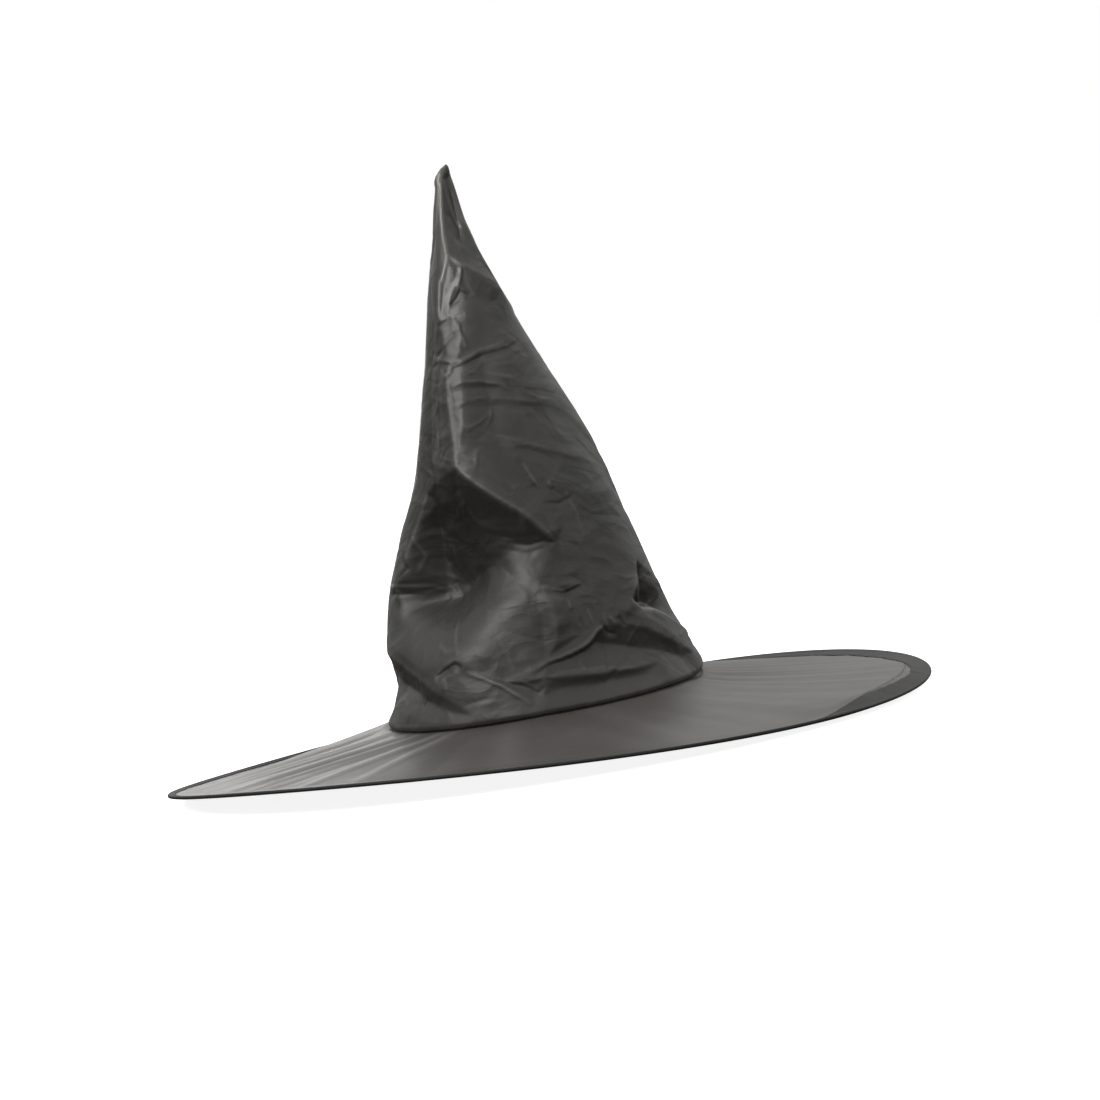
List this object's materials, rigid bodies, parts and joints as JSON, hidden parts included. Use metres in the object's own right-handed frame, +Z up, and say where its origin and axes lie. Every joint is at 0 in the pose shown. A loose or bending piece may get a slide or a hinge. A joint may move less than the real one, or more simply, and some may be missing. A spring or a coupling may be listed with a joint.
{
  "type": "pointed costume hat",
  "caption": "Soft pointed witch hat: crumpled cloth cone with a tip that flops, on a wide drooping brim with a sprung wire in its bound rim.",
  "frame": {"origin": "centre of the head opening, on the plane of the seam that joins the crown to the brim", "axes": "+Z up along the axis of the brim, towards the crown's tip; the side seams lie at -X and +X; -Y is the front panel"},
  "size_m": [0.45, 0.45, 0.3379],
  "materials": {
    "crown_taffeta": "satin",
    "brim_taffeta": "satin",
    "binding_taffeta": "satin",
    "thread": "matt",
    "band_tape": "ribbed",
    "label_satin": "satin",
    "spring_wire": "drawn",
    "wire_sleeve": "matt"
  },
  "bodies": {
    "hat": {"brim_cloth": "brim_taffeta", "rim_binding": "binding_taffeta", "rim_binding_stitching": "thread", "brim_wire": "spring_wire", "brim_wire_sleeve": "wire_sleeve", "head_band": "band_tape", "head_band_stitching": "thread", "base_seam_stitching": "thread", "care_label": "label_satin", "crown_front_panel": "crown_taffeta", "crown_back_panel": "crown_taffeta", "crown_left_seam_stitching": "thread", "crown_right_seam_stitching": "thread"},
    "crown_tip": {"crown_tip_front_panel": "crown_taffeta", "crown_tip_back_panel": "crown_taffeta", "crown_tip_left_seam_stitching": "thread", "crown_tip_right_seam_stitching": "thread"}
  },
  "joints": [
    {"name": "tip_flop", "type": "hinge", "parent": "hat", "child": "crown_tip", "pos_m": [0, 0, 0.2], "axis": [0, 1, 0], "range_deg": [-40, 40]}
  ]
}
